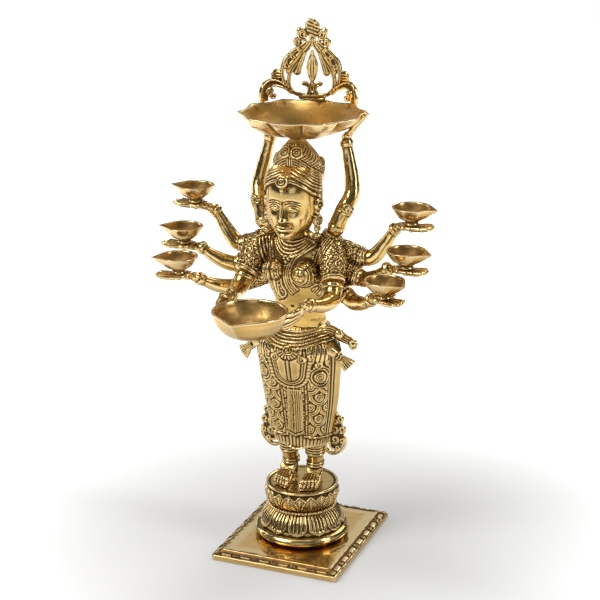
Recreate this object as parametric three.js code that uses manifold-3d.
import * as THREE from 'three';
import { mergeVertices } from 'three/addons/utils/BufferGeometryUtils.js';
import Module from 'manifold-3d';

// Standing oil lamp in cast brass: a ten-armed lamp-bearer on a double lotus. Millimetres, +Z up, facing -Y.

const wasm = await Module();
wasm.setup();

// Clearance between seated pieces, and round pins and screws in their holes
const gap = 0.3;

// Base plate
const plateWidth = 135;
const plateDepth = 159;
const plateThickness = 9.5;
const plateBand = 5.5;
const mouldingWidth = 7;
const grooveWidth = 1.2;
const grooveDepth = 0.9;

// Double lotus pedestal: radii of its main rings
const pedestalHeight = 56.2;
const pedestalFootRadius = 42;
const lowerLotusRadius = 48;
const pedestalNeckRadius = 33.5;
const beadRadius = 35.2;
const upperLotusRadius = 40;
const pedestalTopRadius = 35.5;
const pedestalCavityRadius = 32.5;
const pedestalWeb = 8;
const lotusPetals = 12;
const lotusRelief = 0.9;

// Feet, legs and skirt, heights above the sole
const footSpread = 13.4;
const ankleRadius = 7.6;
const hemHeight = 35;
const skirtLowHeight = 46;
const waistHeight = 174;
const hipHalfWidth = 44;
const kneeHalfWidth = 38.5;
const hemHalfWidth = 32.5;
const breastSpread = 16;
const breastHeight = 60.5;
const beltBands = 6;
const beltSag = 5.5;
const beltLowHeight = 157;
const tongueHalfWidth = 10.4;
const tongueHeight = 129.5;
const panelHalfWidth = 8.6;
const frillReach = 16;
const frillBack = 3.5;
const frillThickness = 5;

// Torso, heights above the waist
const chestHalfWidth = 35;
const neckRadius = 11.5;
const neckHeight = 105;
const breastRadius = 12.5;
const waistSpigotRadius = 9;
const waistSpigotLength = 9;

// Arms
const sleeveSpigotRadius = 4.2;
const sleeveSpigotLength = 8;
const forearmRadius = 8;
const wristRadius = 5.4;
const braceletRadius = 6.9;
const braceletWidth = 5;
const palmHalfWidth = 9;
const palmThickness = 7;
const fingerRadius = 2.15;
const fingerLength = 15;

// Head and crown, heights above the neck's top
const headHalfWidth = 24.5;
const headHalfDepth = 26.5;
const headHalfHeight = 32;
const headForward = 8;
const hairRadius = 28;
const crownSeat = 51;
const crownTop = 83;
const crownTilt = 0.42;
const crownRadius = 24.8;
const medallionRadius = 5.6;

// Overhead lotus bowl, heights above its underside
const bowlHeight = 23;
const bowlRimRadius = 61;
const bowlFloorRadius = 17;
const bowlWall = 3.2;
const bowlPetals = 10;
const petalReach = 3;

// Crest, heights above the bowl's rim
const crestHeight = 81;
const crestTurn = 12;
const crestRib = 2.3;
const crestHeartHalfWidth = 30;
const crestScrollReach = 51;
const crestThickness = 3.4;
const crestPinSpacing = 13;
const crestPinRadius = 0.8;
const crestPinLength = 6;

// Small oil cups
const cupRadius = 19.5;
const cupSpout = 27.5;
const cupDepth = 13.8;
const cupWall = 2.2;
const cupFootHeight = 3.6;
const cupFootRadius = 7;
const cupScrewRadius = 1.5;
const cupScrewHead = 3;
const cupScrewHeadHeight = 1.4;
const cupScrewChamfer = 0.8;

// Large front bowl
const frontBowlRadius = 36;
const frontBowlSpout = 43.5;
const frontBowlDepth = 26;
const frontBowlWall = 2.6;
const frontBowlForward = 129;
const frontBowlRimHeight = 50.3;
const frontPinRadius = 1.4;
const frontPinLength = 6;

// Screws
const plateScrewRadius = 2.5;
const plateScrewHead = 4.6;
const plateScrewCircle = 37.3;
const plateScrewLength = 16;
const footScrewRadius = 2.5;
const footScrewHead = 4.6;
const footScrewLength = 20;
const bowlScrewRadius = 2;
const bowlScrewHead = 4;
const bowlScrewLength = 14;
const screwHeadHeight = 2.4;

const brass = (color, roughness) => new THREE.MeshStandardMaterial({ color, roughness, metalness: 1 });
const castBrass = brass(0xb28a3c, 0.34);
const carvedBrass = brass(0x9c7a38, 0.42);
const polishedBrass = brass(0xc39a48, 0.22);
const screwBrass = brass(0xa68440, 0.3);

const v = (x, y, z) => new THREE.Vector3(x, y, z);

// Geometry with merged corners as a solid, turned right side out
function solidOf(geometry) {
  const bare = geometry.clone();
  for (const extra of ['normal', 'uv']) bare.deleteAttribute(extra);
  const merged = mergeVertices(bare, 1e-4);
  const place = merged.attributes.position;
  const corners = merged.index.array;
  const kept = [];
  let volume = 0;
  const [a, b, c] = [v(), v(), v()];
  for (let i = 0; i < corners.length; i += 3) {
    const [p, q, r] = [corners[i], corners[i + 1], corners[i + 2]];
    if (p === q || q === r || r === p) continue;
    kept.push(p, q, r);
    volume += a.fromBufferAttribute(place, p)
      .dot(b.fromBufferAttribute(place, q).cross(c.fromBufferAttribute(place, r)));
  }
  if (volume < 0) kept.reverse();
  return new wasm.Manifold(new wasm.Mesh({
    numProp: 3, vertProperties: new Float32Array(place.array), triVerts: new Uint32Array(kept),
  }));
}

function geometryOf(solid) {
  const mesh = solid.getMesh();
  const geometry = new THREE.BufferGeometry();
  geometry.setAttribute('position', new THREE.BufferAttribute(new Float32Array(mesh.vertProperties), 3));
  geometry.setIndex(new THREE.BufferAttribute(new Uint32Array(mesh.triVerts), 1));
  return geometry;
}

const join = (solids) => solids.reduce((whole, next) => whole.add(next));
const cut = (solid, tools) => tools.reduce((whole, tool) => whole.subtract(tool), solid);

// Closed skin over rings of points that all have the same count, with a fan at each end
function skin(rings) {
  const count = rings[0].length;
  const points = rings.flat();
  const triangles = [];
  for (let i = 0; i < rings.length - 1; i++) {
    for (let j = 0; j < count; j++) {
      const [a, b] = [i * count + j, i * count + (j + 1) % count];
      triangles.push(a, b, b + count, a, b + count, a + count);
    }
  }
  for (const [start, turned] of [[0, true], [(rings.length - 1) * count, false]]) {
    const middle = points.slice(start, start + count)
      .reduce((sum, p) => sum.add(p), v()).divideScalar(count);
    points.push(middle);
    for (let j = 0; j < count; j++) {
      const [a, b] = [start + j, start + (j + 1) % count];
      triangles.push(...(turned ? [b, a, points.length - 1] : [a, b, points.length - 1]));
    }
  }
  const geometry = new THREE.BufferGeometry().setFromPoints(points);
  geometry.setIndex(triangles);
  return solidOf(geometry);
}

// Upright stack of ellipses, each [height, half width, half depth, forward shift]
function stack(sections, sides, grow = 0) {
  return skin(sections.map(([z, a, b, y]) => Array.from({ length: sides }, (_, j) => {
    const turn = (j + 0.5) * 2 * Math.PI / sides;
    return v((a + grow) * Math.cos(turn), y + (b + grow) * Math.sin(turn), z);
  })));
}

// Limb along stations [x, y, z, radius, flatness]: two stations in one place make a step, and a stretch
// longer than the bend length gets a ring in its middle
const bendLength = 11;
function limb(stations, { sides = 8, across = v(0, 0, 1), grow = 0 } = {}) {
  const places = stations.map(([x, y, z]) => v(x, y, z));
  const line = new THREE.CatmullRomCurve3(places);
  const last = stations.length - 1;
  const rings = [];
  const addRing = (t, radius, flat) => {
    const ahead = line.getTangent(t);
    const side = ahead.clone().cross(across).normalize();
    const up = side.clone().cross(ahead).normalize();
    rings.push(Array.from({ length: sides }, (_, j) => {
      const turn = (j + 0.5) * 2 * Math.PI / sides;
      return line.getPoint(t).addScaledVector(side, (radius + grow) * Math.cos(turn))
        .addScaledVector(up, (radius * flat + grow) * Math.sin(turn));
    }));
  };
  stations.forEach(([, , , radius, flat = 1], i) => {
    addRing(i / last, radius, flat);
    if (last > 1 && i < last && places[i].distanceTo(places[i + 1]) > bendLength) {
      const [, , , nextRadius, nextFlat = 1] = stations[i + 1];
      addRing((i + 0.5) / last, (radius + nextRadius) / 2, (flat + nextFlat) / 2);
    }
  });
  return skin(rings);
}

// Turned body about the upright axis; shape(point, angle) may move each point outward or up
function turned(profile, segments, shape = () => {}) {
  const geometry = new THREE.LatheGeometry(profile.map(([r, z]) => new THREE.Vector2(r, z)), segments);
  geometry.rotateX(Math.PI / 2);
  const place = geometry.attributes.position;
  const point = v();
  for (let i = 0; i < place.count; i++) {
    point.fromBufferAttribute(place, i);
    shape(point, Math.atan2(point.y, point.x));
    place.setXYZ(i, point.x, point.y, point.z);
  }
  return solidOf(geometry);
}

// Straight round rod between two points
function rod(from, to, radius, sides = 8) {
  const geometry = new THREE.CylinderGeometry(radius, radius, from.distanceTo(to), sides);
  const along = to.clone().sub(from).normalize();
  geometry.applyQuaternion(new THREE.Quaternion().setFromUnitVectors(v(0, 1, 0), along));
  geometry.translate(...from.clone().add(to).multiplyScalar(0.5).toArray());
  return solidOf(geometry);
}

// Round hole tool whose flats clear the given radius
const bore = (from, to, radius, sides = 8) => rod(from, to, radius / Math.cos(Math.PI / sides), sides);

// Ellipsoid with its own centre and half sizes
function ball(centre, half, across = 10, down = 6) {
  const geometry = new THREE.SphereGeometry(1, across, down);
  geometry.rotateX(Math.PI / 2);
  geometry.scale(...half);
  geometry.translate(...centre);
  return solidOf(geometry);
}

function meshOf(name, solid, material) {
  const mesh = new THREE.Mesh(geometryOf(solid), material);
  mesh.name = name;
  return mesh;
}

const lamp = new THREE.Group();
const sides = [['left', 1], ['right', -1]];

// Slotted screw along the upright axis, head down at z = 0
function screw(radius, headRadius, length) {
  const slotWidth = 0.9;
  const slotDepth = 0.9;
  const chamfer = 0.6;
  const body = turned([
    [0, 0], [headRadius, 0], [headRadius, screwHeadHeight], [radius, screwHeadHeight],
    [radius, length - chamfer], [radius - chamfer, length], [0, length],
  ], 8);
  const slot = new THREE.BoxGeometry(headRadius * 3, slotWidth, slotDepth * 2);
  return cut(body, [solidOf(slot)]);
}

// Base plate: four-cornered stack with a band, a sloped moulding and a groove round the top field
function makePlate() {
  const outline = [
    [0, 0], [plateBand, 0], [plateThickness - 0.4, mouldingWidth],
    [plateThickness - grooveDepth, mouldingWidth + 0.2],
    [plateThickness - grooveDepth, mouldingWidth + grooveWidth],
    [plateThickness, mouldingWidth + grooveWidth + 0.4],
  ];
  const rings = outline.map(([z, inset]) => {
    const [x, y] = [plateWidth / 2 - inset, plateDepth / 2 - inset];
    return [v(x, y, z), v(-x, y, z), v(-x, -y, z), v(x, -y, z)];
  });
  const holes = plateScrewPlaces.flatMap(([x, y]) => [
    bore(v(x, y, -1), v(x, y, plateThickness + 1), plateScrewRadius + gap),
    bore(v(x, y, -1), v(x, y, plateHeadDepth + screwHeadHeight + gap), plateScrewHead + gap),
  ]);
  return cut(skin(rings), holes);
}
const plateHeadDepth = 1.2;
const plateScrewPlaces = [45, 135, 225, 315].map((degrees) => {
  const turn = THREE.MathUtils.degToRad(degrees);
  return [plateScrewCircle * Math.cos(turn), plateScrewCircle * Math.sin(turn)];
});
lamp.add(meshOf('base_plate', makePlate(), polishedBrass));
plateScrewPlaces.forEach(([x, y], i) => {
  const plateScrew = screw(plateScrewRadius, plateScrewHead, plateScrewLength);
  const mesh = meshOf(`plate_screw_${i + 1}`, plateScrew, screwBrass);
  mesh.position.set(x, y, plateHeadDepth);
  lamp.add(mesh);
});

// Pedestal: hollow from below, with fluted lower petals and pointed upper petals
const pedestalZ = plateThickness + gap;
const soleZ = pedestalZ + pedestalHeight + gap;
function makePedestal() {
  const top = pedestalHeight;
  const cavityTop = top - pedestalWeb;
  const cavityNeck = pedestalNeckRadius - 7;
  const profile = [
    [0, cavityTop], [cavityNeck, cavityTop], [cavityNeck, 30], [pedestalCavityRadius, 20],
    [pedestalCavityRadius, 0], [pedestalFootRadius, 0], [lowerLotusRadius - 2, 2], [lowerLotusRadius, 5],
    [lowerLotusRadius, 8], [pedestalFootRadius + 2.5, 12.5], [pedestalFootRadius + 0.5, 20],
    [pedestalFootRadius - 4, 26], [pedestalNeckRadius, 31], [beadRadius, 33], [pedestalNeckRadius, 35],
    [upperLotusRadius - 1, 43], [upperLotusRadius, 47.5], [upperLotusRadius - 1.5, 52.5],
    [pedestalTopRadius, top], [0, top],
  ];
  const fluted = (p, angle) => {
    const radius = Math.hypot(p.x, p.y);
    const outside = radius > pedestalNeckRadius + 1.5 && p.z > 1 && p.z < 53;
    if (!outside) return;
    const wave = 0.5 * Math.cos(angle * lotusPetals);
    const scale = 1 + lotusRelief * wave / radius;
    p.x *= scale;
    p.y *= scale;
  };
  const screwHoles = plateScrewPlaces.map(([x, y]) =>
    bore(v(x, y, -1), v(x, y, plateScrewLength + plateHeadDepth - pedestalZ + gap), plateScrewRadius + gap));
  const footHoles = sides.map(([, s]) =>
    bore(v(s * footSpread, footHeelY, cavityTop - 1),
      v(s * footSpread, footHeelY, top + 1), footScrewRadius + gap));
  return cut(turned(profile, lotusPetals * 2, fluted), [...screwHoles, ...footHoles]);
}
const footHeelY = 4;
const pedestalMesh = meshOf('lotus_pedestal', makePedestal(), carvedBrass);
pedestalMesh.position.z = pedestalZ;
lamp.add(pedestalMesh);
for (const [side, s] of sides) {
  const footScrew = screw(footScrewRadius, footScrewHead, footScrewLength);
  const mesh = meshOf(`foot_screw_${side}`, footScrew, screwBrass);
  const roof = pedestalZ + pedestalHeight - pedestalWeb;
  mesh.position.set(s * footSpread, footHeelY, roof - gap - screwHeadHeight);
  lamp.add(mesh);
}

// The figure stands on its soles; everything above the waist hangs on the waist's height
const figure = new THREE.Group();
figure.position.z = soleZ;
lamp.add(figure);
const upper = new THREE.Group();
upper.position.z = waistHeight + gap;
figure.add(upper);

// Torso sections above the waist: height, half width, half depth, forward shift
const torsoSections = [
  [0, 24, 17.5, -2], [10, 22.5, 17, -3], [24, 24.5, 18, -7], [40, 28.5, 21, -11],
  [58, chestHalfWidth - 2, 22, -13],
  [72, chestHalfWidth + 2, 20, -12], [82, chestHalfWidth + 2.5, 17.5, -11],
  [89, chestHalfWidth - 5, 14.5, -11],
  [94, neckRadius + 6, neckRadius + 0.5, -12], [98, neckRadius, neckRadius, -13.5],
  [neckHeight, neckRadius - 0.5, neckRadius - 0.5, -16],
];

// Arms, given for the figure's left side and measured from the waist. A sleeve runs from the body to its
// banded end, then come the elbow, the middle of the forearm and the wrist, each with its radius.
const sideArms = [
  { name: 'upper', sleeve: [[24, 2, 77], [63, 3, 71]], sleeveRadii: [11, 9.6],
    line: [[73, 3.8, 73, forearmRadius], [84, 4.6, 86, 7], [94.6, 3.8, 102.7, wristRadius]],
    palm: [113.5, -3.2, 108.7], aim: -2 },
  { name: 'middle', sleeve: [[24, -4, 66], [63, -8.5, 55]], sleeveRadii: [10.5, 9.4],
    line: [[74, -11.5, 54.5, forearmRadius], [86, -18.5, 61.5, 6.8], [97, -24.4, 71.4, wristRadius]],
    palm: [116.3, -25.1, 71.8], aim: -8 },
  { name: 'lower', sleeve: [[22, -12, 56], [53, -20, 40]], sleeveRadii: [10, 9.2],
    line: [[64, -24.5, 34, forearmRadius + 0.4], [78, -35.5, 38, 7], [89.4, -46.4, 46, wristRadius]],
    palm: [106.6, -59.1, 51.2], aim: -26 },
];
const frontArm = {
  name: 'front', sleeve: [[37, -15, 84], [45.5, -34, 55]], sleeveRadii: [12, 11],
  line: [[48, -42, 41.5, forearmRadius + 0.6], [45.5, -62, 40.5, 7.4], [40.6, -82, 45.5, wristRadius + 0.3]],
};
const overheadArm = {
  name: 'overhead', sleeve: [[27, -10, 78], [36.5, -7.5, 95]], sleeveRadii: [12, 10],
  line: [[43.5, -1.5, 118, 8], [49, 8.5, 132, forearmRadius], [45.6, 13.5, 158, 6.8],
    [40, 15.3, 180, wristRadius]],
};

const sleeveEnds = ({ sleeve }, s) => sleeve.map(([x, y, z]) => v(s * x, y, z));

function sleeveSolid(arm, s, grow = 0) {
  const [from, to] = arm.sleeve;
  const [wide, narrow] = arm.sleeveRadii;
  return limb([[s * from[0], from[1], from[2], wide], [s * to[0], to[1], to[2], narrow]], { grow });
}

function sleeveSocket(arm, s) {
  const [from, to] = sleeveEnds(arm, s);
  const out = to.clone().sub(from).normalize();
  const bottom = to.clone().addScaledVector(out, -sleeveSpigotLength - gap);
  return bore(bottom, to.clone().addScaledVector(out, 1), sleeveSpigotRadius + gap, 6);
}

const allArms = [...sideArms, frontArm, overheadArm];
function torsoSolid(grow = 0) {
  const parts = [stack(torsoSections, 16, grow)];
  for (const [, s] of sides) {
    const round = breastRadius + grow;
    parts.push(ball([s * breastSpread, -32.5, breastHeight], [round, round + 1, round]));
    for (const arm of allArms) parts.push(sleeveSolid(arm, s, grow));
  }
  return join(parts);
}
const torsoCore = torsoSolid();
const torsoEnvelope = torsoSolid(gap);
const waistSpigot = rod(v(0, -2, -waistSpigotLength), v(0, -2, 2), waistSpigotRadius, 12);
const neckSpigotTop = neckHeight + 8;
const neckSpigotRadius = 7;
const neckSpigot = rod(v(0, -16, neckHeight - 2), v(0, -16, neckSpigotTop), neckSpigotRadius, 10);
const sockets = sides.flatMap(([, s]) => allArms.map((arm) => sleeveSocket(arm, s)));
upper.add(meshOf('torso', cut(join([torsoCore, waistSpigot, neckSpigot]), sockets), carvedBrass));

// Four fingers and a thumb in the hand's frame: forward along +X, thumb towards +Y, palm up
function fingersSolid({ curl = 1.5, thumb = [2, 12, 4] } = {}) {
  const spread = 2 * fingerRadius;
  const lengths = [-0.85, 0.9, 0.5, -1.9];
  const fingers = lengths.map((extra, i) => {
    const y = (i - 1.5) * spread;
    const tip = 7 + fingerLength + extra;
    const middle = [(6 + tip) / 2, y, curl * 0.3, fingerRadius - 0.1];
    const end = [tip, y * 0.95, curl, 1.4];
    return limb([[6, y, 0, fingerRadius], middle, end], { sides: 5, across: v(0, 0.01, 1) });
  });
  const knuckle = [(thumb[0] - 8) / 2, (thumb[1] + 6) / 2, thumb[2] / 2, 2.6];
  const thumbSolid = limb([[-8, 5, 0, 2.8], knuckle, [...thumb, 1.7]], { sides: 5 });
  return join([...fingers, thumbSolid]);
}

// Place a solid made in a hand's frame by its origin, forward direction and palm normal
function placed(solid, origin, forward, normal, mirrored) {
  const x = forward.clone().normalize();
  const z = normal.clone().addScaledVector(x, -normal.dot(x)).normalize();
  const y = z.clone().cross(x).multiplyScalar(mirrored);
  const geometry = geometryOf(solid);
  geometry.applyMatrix4(new THREE.Matrix4().makeBasis(x, y, z).setPosition(origin));
  return solidOf(geometry);
}

// Bare arm from its spigot in the sleeve to a flat palm, with a bracelet and fingers
function armSolid(arm, s, { palm, forward, normal, curl, thumb, thumbSide = s }) {
  const [from, to] = sleeveEnds(arm, s);
  const out = to.clone().sub(from).normalize();
  const start = to.clone().addScaledVector(out, gap);
  const root = arm.sleeveRadii[1] - 1.6;
  const reach = forward.clone().normalize();
  const palmAt = (ahead) => palm.clone().addScaledVector(reach, ahead);
  const inner = arm.line.map(([x, y, z, r]) => [s * x, y, z, r]);
  const wrist = v(...inner.pop().slice(0, 3));
  const along = palmAt(-14).sub(v(...inner[inner.length - 1].slice(0, 3))).normalize();
  const station = (place, radius, flat) => [...place.toArray(), radius, flat];
  const ring = (offset) => wrist.clone().addScaledVector(along, offset * braceletWidth / 2);
  const half = palmThickness / 2;
  const stations = [
    station(to.clone().addScaledVector(out, -sleeveSpigotLength), sleeveSpigotRadius),
    station(start, sleeveSpigotRadius),
    station(start, root), station(start.clone().addScaledVector(out, 3), root), ...inner,
    station(ring(-1), wristRadius + 0.3), station(ring(-1), braceletRadius), station(ring(1), braceletRadius),
    station(ring(1), wristRadius), station(palmAt(-11), palmHalfWidth - 2, 0.66),
    station(palmAt(-2), palmHalfWidth, half / palmHalfWidth), station(palmAt(9), palmHalfWidth - 0.6, 0.3),
  ];
  const fingers = placed(fingersSolid({ curl, thumb }), palm, reach, normal, thumbSide);
  return join([limb(stations, { across: normal }), fingers]);
}

// Small cup: turned dish on a round foot, drawn out to a pointed spout towards +X
function drawSpout(radius, reach, low, high) {
  const edge = Math.acos(radius / reach);
  return (p, angle) => {
    const height = THREE.MathUtils.clamp((p.z - low) / (high - low), 0, 1);
    if (Math.abs(angle) > edge || Math.hypot(p.x, p.y) < 0.01) return;
    const stretch = 1 + (1 / Math.cos(edge - Math.abs(angle)) - 1) * height;
    p.x *= stretch;
    p.y *= stretch;
  };
}
function makeCup() {
  const rim = cupFootHeight + cupDepth;
  const inner = cupRadius - cupWall;
  const floor = cupFootHeight + cupWall;
  const profile = [
    [0, 0], [cupFootRadius, 0], [cupFootRadius - 1, cupFootHeight],
    [cupRadius * 0.66, cupFootHeight + cupDepth * 0.28],
    [cupRadius * 0.9, cupFootHeight + cupDepth * 0.66], [cupRadius, rim], [inner, rim],
    [inner * 0.86, floor + (rim - floor) * 0.45], [inner * 0.55, floor + (rim - floor) * 0.12], [0, floor],
  ];
  const hole = bore(v(0, 0, -1), v(0, 0, cupHoleDepth + gap), cupScrewRadius + gap);
  return cut(turned(profile, 16, drawSpout(cupRadius, cupSpout, cupFootHeight, rim)), [hole]);
}
const cupHoleDepth = 3.6;
const cupSolid = makeCup();
const cupScrewLength = palmThickness + cupHoleDepth + gap;
const cupScrewSolid = turned([
  [0, 0], [cupScrewHead - cupScrewChamfer, 0], [cupScrewHead, cupScrewHeadHeight],
  [cupScrewRadius, cupScrewHeadHeight], [cupScrewRadius, cupScrewLength], [0, cupScrewLength],
], 8);

// Side arms: an open palm with a flat seat and a hole for the cup's screw
const seatSink = 0.6;
for (const arm of sideArms) {
  for (const [side, s] of sides) {
    const palm = v(s * arm.palm[0], arm.palm[1], arm.palm[2]);
    const aim = THREE.MathUtils.degToRad(arm.aim);
    const forward = v(s * Math.cos(aim), Math.sin(aim), 0);
    const hand = { palm, forward, normal: v(0, 0, 1) };
    const seatZ = palm.z + palmThickness / 2 - seatSink;
    const screwZ = palm.z - palmThickness / 2 + seatSink;
    const seat = bore(v(palm.x, palm.y, seatZ), v(palm.x, palm.y, seatZ + 12), cupFootRadius + gap, 12);
    const hole = bore(v(palm.x, palm.y, screwZ - 6), v(palm.x, palm.y, seatZ + 1), cupScrewRadius + gap);
    const headSeat = bore(v(palm.x, palm.y, screwZ - 6), v(palm.x, palm.y, screwZ), cupScrewHead + gap);
    upper.add(meshOf(`${arm.name}_arm_${side}`,
      cut(armSolid(arm, s, hand), [seat, hole, headSeat]), castBrass));
    const cup = meshOf(`${arm.name}_cup_${side}`, cupSolid, polishedBrass);
    cup.position.set(palm.x, palm.y, seatZ + gap);
    cup.rotation.z = s > 0 ? aim : Math.PI - aim;
    upper.add(cup);
    const cupScrew = meshOf(`${arm.name}_cup_screw_${side}`, cupScrewSolid, screwBrass);
    cupScrew.position.set(palm.x, palm.y, screwZ - gap - cupScrewHeadHeight);
    upper.add(cupScrew);
  }
}

// Front bowl, held from both sides by the front hands
function frontBowlProfile(grow) {
  const low = frontBowlRimHeight - frontBowlDepth - grow;
  const wide = frontBowlRadius + grow;
  return [
    [0, low], [wide * 0.38, low + 0.5], [wide * 0.66, low + frontBowlDepth * 0.2],
    [wide * 0.86, low + frontBowlDepth * 0.48], [wide * 0.97, low + frontBowlDepth * 0.82],
    [wide, frontBowlRimHeight + grow],
  ];
}
function frontBowlEnvelope() {
  const low = frontBowlRimHeight - frontBowlDepth;
  const spout = drawSpout(frontBowlRadius + gap, frontBowlSpout + gap, low, frontBowlRimHeight);
  const lid = frontBowlRimHeight + 3;
  const filled = turned([...frontBowlProfile(gap), [frontBowlRadius, lid], [0, lid]], 28, spout);
  return filled.rotate([0, 0, -90]).translate([0, -frontBowlForward, 0]);
}
function makeFrontBowl() {
  const inner = frontBowlRadius - frontBowlWall;
  const floor = frontBowlRimHeight - frontBowlDepth + frontBowlWall;
  const depth = frontBowlRimHeight - floor;
  const profile = [...frontBowlProfile(0), [inner, frontBowlRimHeight], [inner * 0.95, floor + depth * 0.72],
    [inner * 0.8, floor + depth * 0.36], [inner * 0.5, floor + depth * 0.08], [0, floor]];
  const low = frontBowlRimHeight - frontBowlDepth;
  const spout = drawSpout(frontBowlRadius, frontBowlSpout, low, frontBowlRimHeight);
  return turned(profile, 28, spout).rotate([0, 0, -90]).translate([0, -frontBowlForward, 0]);
}
const pinHeight = frontBowlRimHeight - 7;
const pinTurn = THREE.MathUtils.degToRad(62);
const pinRadiusPlace = frontBowlRadius * 0.955 - 1.2;
function frontPinEnds(s, slack) {
  const out = v(s * Math.sin(pinTurn), Math.cos(pinTurn), 0);
  const start = v(0, -frontBowlForward, pinHeight).addScaledVector(out, pinRadiusPlace);
  const end = start.clone().addScaledVector(out, frontPinLength + slack);
  return [start.clone().addScaledVector(out, -slack), end];
}
const frontPinHoles = sides.map(([, s]) => bore(...frontPinEnds(s, gap), frontPinRadius + gap));
upper.add(meshOf('front_bowl', cut(makeFrontBowl(), frontPinHoles), polishedBrass));
const bowlKeepOut = frontBowlEnvelope();
for (const [side, s] of sides) {
  const hand = { palm: v(s * 38.6, -104, 44.5), forward: v(s * -0.16, -1, -0.1), normal: v(-s, -0.15, 0.25),
    curl: 6, thumb: [3, 10, 6], thumbSide: -s };
  const holes = [frontPinHoles[s > 0 ? 0 : 1], bowlKeepOut];
  upper.add(meshOf(`front_arm_${side}`, cut(armSolid(frontArm, s, hand), holes), castBrass));
  upper.add(meshOf(`front_bowl_pin_${side}`, rod(...frontPinEnds(s, 0), frontPinRadius), screwBrass));
}

// Head with hair, ears and ear drops; the crown sits on a plane that slopes down to the back
const headGroup = new THREE.Group();
headGroup.position.z = neckHeight + gap;
upper.add(headGroup);
const headY = -16 - headForward;
const headMiddle = headHalfHeight - 11.5;
const hairMiddle = headMiddle + 13;
const tiltNormal = v(0, Math.sin(crownTilt), Math.cos(crownTilt));
const crownPlane = v(0, headY + 5, crownSeat);
function aboveCrownPlane(lift) {
  const box = new THREE.BoxGeometry(120, 120, 60);
  box.translate(0, 0, 30);
  box.applyQuaternion(new THREE.Quaternion().setFromUnitVectors(v(0, 0, 1), tiltNormal));
  box.translate(...crownPlane.clone().addScaledVector(tiltNormal, lift).toArray());
  return solidOf(box);
}
const crownSections = [
  [crownSeat - 22, crownRadius - 1, crownRadius - 3, -9],
  [crownSeat, crownRadius + 0.4, crownRadius - 1.4, -9],
  [crownSeat + 9, crownRadius, crownRadius - 2.2, -8],
  [crownSeat + 16, crownRadius - 2.6, crownRadius - 4.4, -8.6],
  [crownSeat + 23, crownRadius - 9, crownRadius - 10, -10.4],
  [crownTop - 3, 9, 9, -12], [crownTop, 6.5, 6.5, -12.6],
];
const bowlY = -12.6;
const crownPegRadius = 6;
const crownPegLength = 9;
const crownPegEnds = (slack) => [
  crownPlane.clone().addScaledVector(tiltNormal, -crownPegLength - slack),
  crownPlane.clone().addScaledVector(tiltNormal, 4),
];

function makeHead() {
  const face = ball([0, headY, headMiddle], [headHalfWidth, headHalfDepth, headHalfHeight], 16, 9);
  const hair = ball([0, headY + 1, hairMiddle], [hairRadius, hairRadius, hairRadius - 4.5], 16, 8);
  const front = headY - headHalfDepth;
  const cutFace = ball([0, front - 3, headMiddle - 3], [headHalfWidth - 2, 9, 25], 12, 6);
  const visage = join([
    face,
    ball([0, headY - 6, headMiddle - 14], [18.5, 19.5, 16], 12, 6),
    limb([[0, front + 3.2, headMiddle + 3, 2.2], [0, front - 0.6, headMiddle - 7, 2.6],
      [0, front - 1.6, headMiddle - 13.5, 3.6], [0, front + 2, headMiddle - 16, 2.4]],
      { sides: 6, across: v(1, 0, 0) }),
    ball([0, front + 4.4, headMiddle - 21.4], [6.4, 3, 2.3], 8, 4),
    ...sides.map(([, s]) => ball([s * 9.6, front + 3.6, headMiddle - 0.5], [5.4, 3.2, 3.1], 8, 4)),
  ]);
  const ears = sides.flatMap(([, s]) => [
    ball([s * 26, headY + 7, headMiddle + 1], [3.6, 5.6, 8.2], 8, 4),
    limb([[s * 25.4, headY + 6, headMiddle - 3, 3], [s * 25.8, headY + 3, headMiddle - 13, 4.2],
      [s * 25.6, headY + 2, headMiddle - 19, 5.2], [s * 25.4, headY + 2, headMiddle - 27, 2.2]],
    { sides: 6, across: v(0, 1, 0) }),
  ]);
  const neckRoom = torsoEnvelope.translate([0, 0, -neckHeight - gap]);
  const spigotRoom = bore(v(0, -16, -6), v(0, -16, 8 + gap), neckSpigotRadius + gap, 10);
  return cut(join([cut(hair, [cutFace]), visage, ...ears]),
    [neckRoom, spigotRoom, aboveCrownPlane(0), bore(...crownPegEnds(gap), crownPegRadius + gap)]);
}
headGroup.add(meshOf('head', makeHead(), castBrass));

function makeCrown() {
  const cone = stack(crownSections, 18).intersect(aboveCrownPlane(gap));
  const discs = [[0, -24.5, crownTop - 6.5, 4.4], [6.6, -28.6, crownTop - 15.5, medallionRadius],
    [-6.6, -28.6, crownTop - 15.5, medallionRadius]].map(([x, y, z, radius]) => {
    const out = v(x * 0.06, -1, 0.55).normalize();
    const middle = v(x, y, z);
    return rod(middle.clone().addScaledVector(out, -3), middle.clone().addScaledVector(out, 1.6), radius, 10);
  });
  const screwEnd = crownTop - bowlScrewLength;
  const screwHole = bore(v(0, bowlY, screwEnd), v(0, bowlY, crownTop + 1), bowlScrewRadius + gap);
  return cut(join([cone, ...discs, rod(...crownPegEnds(0), crownPegRadius)]), [screwHole]);
}

headGroup.add(meshOf('crown', makeCrown(), carvedBrass));

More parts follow.
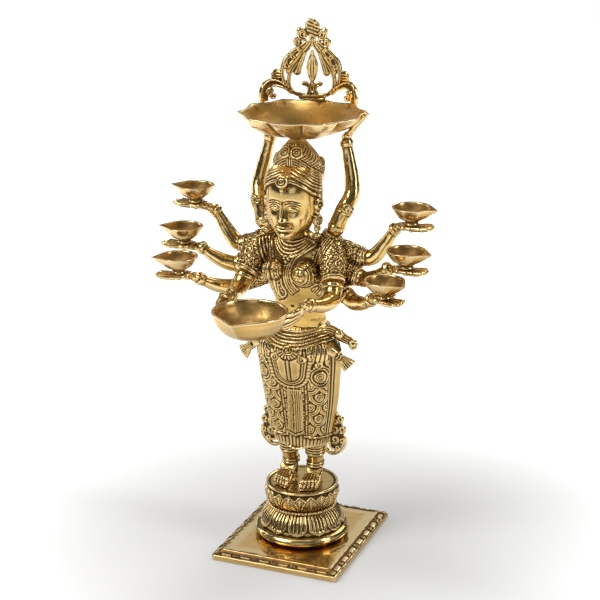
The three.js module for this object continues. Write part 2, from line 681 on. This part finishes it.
// Overhead bowl: underside just above the crown, its middle over the lamp's axis
const bowlZ = crownTop + gap;
const bowlGroup = new THREE.Group();
bowlGroup.position.z = bowlZ;
headGroup.add(bowlGroup);
const petalStart = THREE.MathUtils.degToRad(21.9);
function petalled(p, angle) {
  const radius = Math.hypot(p.x, p.y);
  if (radius < bowlFloorRadius) return;
  const height = THREE.MathUtils.clamp(p.z / bowlHeight, 0, 1);
  const phase = Math.cos((angle - petalStart) * bowlPetals);
  const reach = petalReach * (0.5 * phase + 0.5) ** 1.5 - petalReach * 0.4;
  const scale = 1 + reach * height / radius;
  p.x *= scale;
  p.y *= scale;
}
const bowlOutside = (grow) => [
  [0, -grow], [bowlFloorRadius, -grow], [bowlRimRadius * 0.5, 3.6 - grow], [bowlRimRadius * 0.74, 11 - grow],
  [bowlRimRadius * 0.91 + grow, 17.5 - grow], [bowlRimRadius + grow, bowlHeight],
];
function makeOverheadBowl() {
  const inner = bowlRimRadius - bowlWall;
  const profile = [...bowlOutside(0), [inner, bowlHeight], [inner * 0.91, 18.4], [inner * 0.72, 12.6],
    [inner * 0.48, 6.4], [bowlFloorRadius - 2, bowlWall + 0.4], [0, bowlWall + 0.4]];
  const body = turned(profile, bowlPetals * 4, petalled);
  const screwTop = bowlWall + 0.4;
  const hole = bore(v(0, bowlY, -1), v(0, bowlY, screwTop + 2), bowlScrewRadius + gap);
  const headSeat = screwTop - screwHeadHeight * 0.6;
  const headRoom = bore(v(0, bowlY, headSeat), v(0, bowlY, screwTop + 3), bowlScrewHead + gap);
  return cut(body, [hole, headRoom, ...crestPinHoles]);
}

// Crest: scrollwork drawn flat as [across, up] and wrapped round the bowl's rim
const crestRadius = bowlRimRadius - bowlWall / 2 - 0.4;
function onRim(across, up, outward = 0) {
  const turn = Math.PI / 2 + THREE.MathUtils.degToRad(crestTurn) - across / crestRadius;
  const radius = crestRadius + outward;
  return v(radius * Math.cos(turn), radius * Math.sin(turn), bowlHeight + up);
}
const crestPinPlaces = [crestPinSpacing / 2, -crestPinSpacing / 2];
const crestPinEnds = (across, slack) => [
  onRim(across, -crestPinLength / 2 - slack), onRim(across, crestPinLength / 2 + slack)];
const crestPinHole = (across) => bore(...crestPinEnds(across, gap), crestPinRadius + gap);
const crestPinHoles = crestPinPlaces.map(crestPinHole);

function rib(points, radii) {
  const flatness = crestThickness / (2 * crestRib);
  const stations = points.map(([across, up], i) => {
    const p = onRim(across, up);
    return [p.x, p.y, p.z, radii[Math.min(i, radii.length - 1)], flatness];
  });
  const facing = onRim(points[0][0], 0).setZ(0).normalize();
  return limb(stations, { sides: 4, across: facing });
}

function makeCrest() {
  const w = crestHeartHalfWidth;
  const h = crestHeight;
  const reach = crestScrollReach;
  const halves = sides.flatMap(([, s]) => {
    const mirror = (points) => points.map(([across, up]) => [s * across, up]);
    return [
      rib(mirror([[0, 3], [w * 0.45, 4.4], [w * 0.8, 14], [w, h * 0.4], [w * 0.88, h * 0.57],
        [w * 0.58, h * 0.68],
        [w * 0.27, h * 0.76]]), [crestRib]),
      rib(mirror([[w * 0.4, 5], [w * 0.66, 17], [w * 0.7, h * 0.35], [w * 0.5, h * 0.51],
        [w * 0.22, h * 0.63],
        [w * 0.07, h * 0.73]]), [crestRib]),
      rib(mirror([[w * 0.7, 11], [reach * 0.7, 18.5], [reach * 0.87, 20.5], [reach, 15.5], [reach * 1.03, 9],
        [reach * 0.97, 2.2]]), [crestRib, crestRib, 3, 3, 2.8, 2.4]),
      rib(mirror([[reach * 0.97, 2.6], [reach * 0.8, 3.2], [reach * 0.78, 9.5],
        [reach * 0.86, 13]]), [2.2, 2, 2, 1.6]),
      rib(mirror([[w * 0.95, 27], [w * 1.15, 28.5], [w * 1.4, 30]]), [2.6, 4, 4.6]),
      rib(mirror([[w * 0.3, h * 0.62], [w * 0.42, h * 0.46], [w * 0.5, h * 0.31]]), [1.8, 2.4, 3.8]),
      rib(mirror([[1, 4], [w * 0.13, 11], [w * 0.28, 17.5]]), [2.6, 2.4, 2.6]),
      rib(mirror([[w * 0.1, h * 0.72], [w * 0.2, h * 0.8], [w * 0.36, h * 0.84]]), [2, 2.4, 3.8]),
      rib(mirror([[w * 0.28, h * 0.72], [w * 0.42, h * 0.73], [w * 0.54, h * 0.735]]), [2, 2.6, 3.4]),
    ];
  });
  const middle = [
    rib([[0, h * 0.07], [0, h * 0.28], [0, h * 0.43], [0, h * 0.56], [0, h * 0.7]], [1.8, 2, 5.2, 2.8, 1.2]),
    rib([[0, h * 0.66], [0, h * 0.78], [0, h * 0.92], [0, h * 0.985]], [3, 5, 7, 3.4]),
    rib([[-10.5, 2.6], [0, 2.6], [10.5, 2.6]], [2.3]),
  ];
  const bowlTop = turned([[0, bowlHeight - 8], [bowlRimRadius + 8, bowlHeight - 8],
    [bowlRimRadius + 8, bowlHeight + gap],
    [0, bowlHeight + gap]], 24);
  return cut(join([...halves, ...middle]), [bowlTop, ...crestPinHoles]);
}
bowlGroup.add(meshOf('overhead_bowl', makeOverheadBowl(), polishedBrass));
bowlGroup.add(meshOf('crest', makeCrest(), castBrass));
sides.forEach(([side], i) => {
  const pin = rod(...crestPinEnds(crestPinPlaces[i], 0), crestPinRadius);
  bowlGroup.add(meshOf(`crest_pin_${side}`, pin, screwBrass));
});
const bowlScrew = meshOf('bowl_screw', screw(bowlScrewRadius, bowlScrewHead, bowlScrewLength), screwBrass);
bowlScrew.rotation.x = Math.PI;
bowlScrew.position.set(0, bowlY, bowlWall + 0.4 + screwHeadHeight * 0.4 + gap);
bowlGroup.add(bowlScrew);

// Overhead arms: palms spread under the bowl, fingers along its flare
const bowlBase = neckHeight + gap + bowlZ;
const bowlProfile = [...bowlOutside(gap), [0, bowlHeight]];
const bowlFilled = turned(bowlProfile, bowlPetals * 4, petalled).translate([0, 0, bowlBase]);
for (const [side, s] of sides) {
  const hand = { palm: v(s * 45, 17.4, bowlBase + 4.6), forward: v(s * 0.62, 0.12, 0.78),
    normal: v(-s * 0.78, -0.1, 0.62), curl: -1.5, thumb: [6, 11, 1] };
  upper.add(meshOf(`overhead_arm_${side}`,
    cut(armSolid(overheadArm, s, hand), [bowlFilled]), castBrass));
}

// Lower body: feet, legs, skirt, belt, sash ends and side frills in one casting
const skirtSections = [
  [skirtLowHeight, hemHalfWidth - 2.9, 19, -1], [skirtLowHeight + 8, hemHalfWidth - 0.7, 19.8, -1],
  [66, hemHalfWidth + 1.1, 21.2, -1.4], [80, kneeHalfWidth - 2.5, 23.2, -1.8],
  [92, kneeHalfWidth - 0.5, 25.2, -2.2], [105, kneeHalfWidth + 1.1, 27.4, -3.2],
  [120, hipHalfWidth - 2.8, 29.4, -4.8], [134, hipHalfWidth - 1.2, 30.6, -6.2],
  [146, hipHalfWidth - 0.2, 31.2, -7.8], [154, hipHalfWidth - 1.8, 30.8, -8.2], [160, 38.8, 29.2, -7.4],
  [166, 34.2, 26.8, -5.6], [171, 29.6, 23.6, -4], [waistHeight, 26, 20.6, -3],
];
const rise = (low, high, x) => THREE.MathUtils.smoothstep((x - low) / (high - low), 0, 1);
const hump = (x, width) => Math.exp(-((x / width) ** 2));

// Places round the skirt, in millimetres from the front, closer together where it is carved
const skirtUnroll = 38;
const skirtPlaces = [3, 6, 8.2, 9.2, 11, 13.5, 16.5, 20, 25, 30, 35, 40, 45, 49, 52, 56, 60, 63.5, 68, 76,
  86, 96, 106, 114];
const skirtHeights = [skirtLowHeight, 50, 54, 58, 63, 70, 78, 86, 94, 102, 108, 114, 118, 121, 125, 130, 136,
  142, 147];

// How far the skirt's carving stands out: two legs, pleated panel, tongue with its edging, side cords
function skirtRelief(angle, z) {
  const turn = Math.abs(angle);
  const across = turn * skirtUnroll;
  const back = Math.PI - turn;
  const legs = -2.2 * hump(turn, 0.42) * rise(150, 110, z) + 1.6 * hump(turn - 0.75, 0.4) * rise(150, 120, z)
    - 1.6 * hump(back, 0.4) * rise(150, 110, z) + 1.5 * hump(turn - 2.5, 0.45) * rise(150, 130, z);
  const hem = 55.5 + 0.42 * across;
  const onPanel = across < panelHalfWidth && z > hem && z < tongueHeight;
  const fromTongue = z - tongueHeight;
  const oval = fromTongue > 0 ? across / (tongueHalfWidth + 0.1 * fromTongue)
    : Math.hypot(across, fromTongue) / tongueHalfWidth;
  let height = turn > 1.8 ? 0.5 : 0.45;
  if (onPanel) height = 2;
  if (z < hem && across < panelHalfWidth + 3) height = 0.75;
  if (oval < 1.65) height = 1.3;
  if (oval < 0.98) height = 0.6 + 3.2 * Math.sqrt(1 - (oval / 0.98) ** 2);
  const cords = Math.max(hump((turn - 1.36) * skirtUnroll, 2), hump((turn - 1.5) * skirtUnroll, 5));
  return Math.max(height, 2.1 * cords * rise(60, 66, z) * rise(152, 144, z)) - 0.9 + legs;
}

// Skirt with its belt: the belt's bands sag to the front and end level at the waist
function makeSkirt() {
  const places = [0, ...skirtPlaces, Math.PI * skirtUnroll, ...skirtPlaces.map((place) => -place).reverse()];
  const point = (place, z, height) => {
    const next = Math.max(1, skirtSections.findIndex(([top]) => top >= z - 1e-6));
    const [low, high] = [skirtSections[next - 1], skirtSections[next]];
    const part = (z - low[0]) / (high[0] - low[0]);
    const [a, b, y] = [1, 2, 3].map((i) => THREE.MathUtils.lerp(low[i], high[i], part));
    const turn = place / skirtUnroll - Math.PI / 2;
    return v((a + height) * Math.cos(turn), y + (b + height) * Math.sin(turn), z);
  };
  const rings = skirtHeights.map((z) => places.map((place) =>
    point(place, z, z > skirtLowHeight ? skirtRelief(place / skirtUnroll, z) : 0)));
  const buckleHeight = tongueHeight + 25.7;
  for (let i = 0; i <= 2 * beltBands; i++) {
    rings.push(places.map((place) => {
      const low = beltLowHeight - beltSag * Math.cos(place / skirtUnroll / 2) ** 4;
      const z = THREE.MathUtils.lerp(low, waistHeight, i / (2 * beltBands));
      const onBuckle = Math.hypot(place, z - buckleHeight) < 9;
      return point(place, z, (onBuckle ? 3 : 1.9) * (onBuckle || i % 2) - 0.9);
    }));
  }
  return skin(rings);
}

// Foot: a wedge with upright sides that slopes from the ankle to the toes' slanting edge. The footprint
// runs from the heel's outer side round the toes to the inner side.
const footprint = [
  [6, 8], [8.6, -6], [10, -20.5], [2.6, -25], [-6.4, -28.4], [-7.4, -14], [-6, 2], [-5.4, 9],
  [-2.5, 12.5], [3, 12.5],
];
const footLevels = [[0, 1], [3, 1], [4.6, 0.9], [11, 0.55], [17, 0.2]];

function footSolid(s) {
  const x = s * footSpread;
  const kneeward = s * (footSpread + 0.8);
  const sole = skin(footLevels.map(([z, length]) => {
    const ring = footprint.map(([across, y]) => v(x + s * across, y > 0 ? y : y * length, z));
    return s > 0 ? ring.reverse() : ring;
  }));
  const anklet = ankleRadius + 1.3;
  const cuff = 11.2;
  const leg = limb([[x, footHeelY, 8, ankleRadius], [x, footHeelY - 0.8, 13, ankleRadius],
    [x, footHeelY - 0.8, 13, anklet], [x, footHeelY - 1.6, 20, anklet],
    [x, footHeelY - 1.6, 20, ankleRadius - 0.3],
    [kneeward, 0, hemHeight - 2.5, 9.6], [kneeward, 0, hemHeight - 2.5, cuff],
    [kneeward, 0, hemHeight + 3, cuff],
    [s * (footSpread + 1.5), -2, skirtLowHeight + 6, 12]], { sides: 10, across: v(0, 1, 0) });
  return join([sole, leg]);
}

function frillSolid(s) {
  const lobes = 4;
  const [low, high] = [hemHeight + 1, hemHeight + 52];
  const pitch = (high - low) / lobes;
  const outline = new THREE.Shape();
  outline.moveTo(-4, high - 8);
  outline.lineTo(-4, low + 10);
  outline.lineTo(2, low);
  for (let i = 0; i < lobes; i++) {
    const reach = frillReach * (0.66 + 0.34 * Math.sin(Math.PI * (i + 0.9) / (lobes + 0.4)));
    const notch = reach * (i === lobes - 1 ? 0.2 : 0.7);
    outline.quadraticCurveTo(reach + 5, low + pitch * (i + 0.45), notch, low + pitch * (i + 1));
  }
  const flat = { depth: frillThickness, bevelEnabled: false, curveSegments: 3 };
  const plate = new THREE.ExtrudeGeometry(outline, flat);
  plate.rotateX(Math.PI / 2);
  plate.scale(s, 1, 1);
  plate.translate(s * (hemHalfWidth - 3), frillThickness / 2 + frillBack, 0);
  return solidOf(plate);
}

function ribbonSolids(s) {
  const ribbon = (places) => limb(places.map(([x, y, z, radius]) => [s * x, y, z, radius, 0.55]),
    { sides: 6, across: v(0, 1, 0) });
  return [
    ribbon([[36, -20, 155, 4], [44, -20, 151, 4.4], [51, -18, 144, 5.6], [58, -16.5, 137, 7.4]]),
    ribbon([[26, -11, 170, 4.5], [35, -10, 172, 6], [44, -8.5, 166, 4.4], [52, -8, 162.5, 4.6],
      [59, -8, 158, 6.6]]),
  ];
}

function makeLowerBody() {
  const parts = [makeSkirt()];
  for (const [, s] of sides) parts.push(footSolid(s), frillSolid(s), ...ribbonSolids(s));
  const below = solidOf(new THREE.BoxGeometry(200, 200, 20).translate(0, 0, -10));
  const spigotRoom = bore(v(0, -2, waistHeight - waistSpigotLength), v(0, -2, waistHeight + 1),
    waistSpigotRadius + gap, 12);
  const torsoRoom = torsoEnvelope.translate([0, 0, waistHeight + gap]);
  const screwRooms = sides.map(([, s]) => {
    const top = footScrewLength - pedestalWeb - screwHeadHeight - 2 * gap;
    const inFoot = (z) => v(s * footSpread, footHeelY, z);
    return bore(inFoot(-1), inFoot(top + 2 * gap), footScrewRadius + gap);
  });
  return cut(join(parts), [below, spigotRoom, torsoRoom, ...screwRooms]);
}
figure.add(meshOf('lower_body', makeLowerBody(), carvedBrass));

export default lamp;
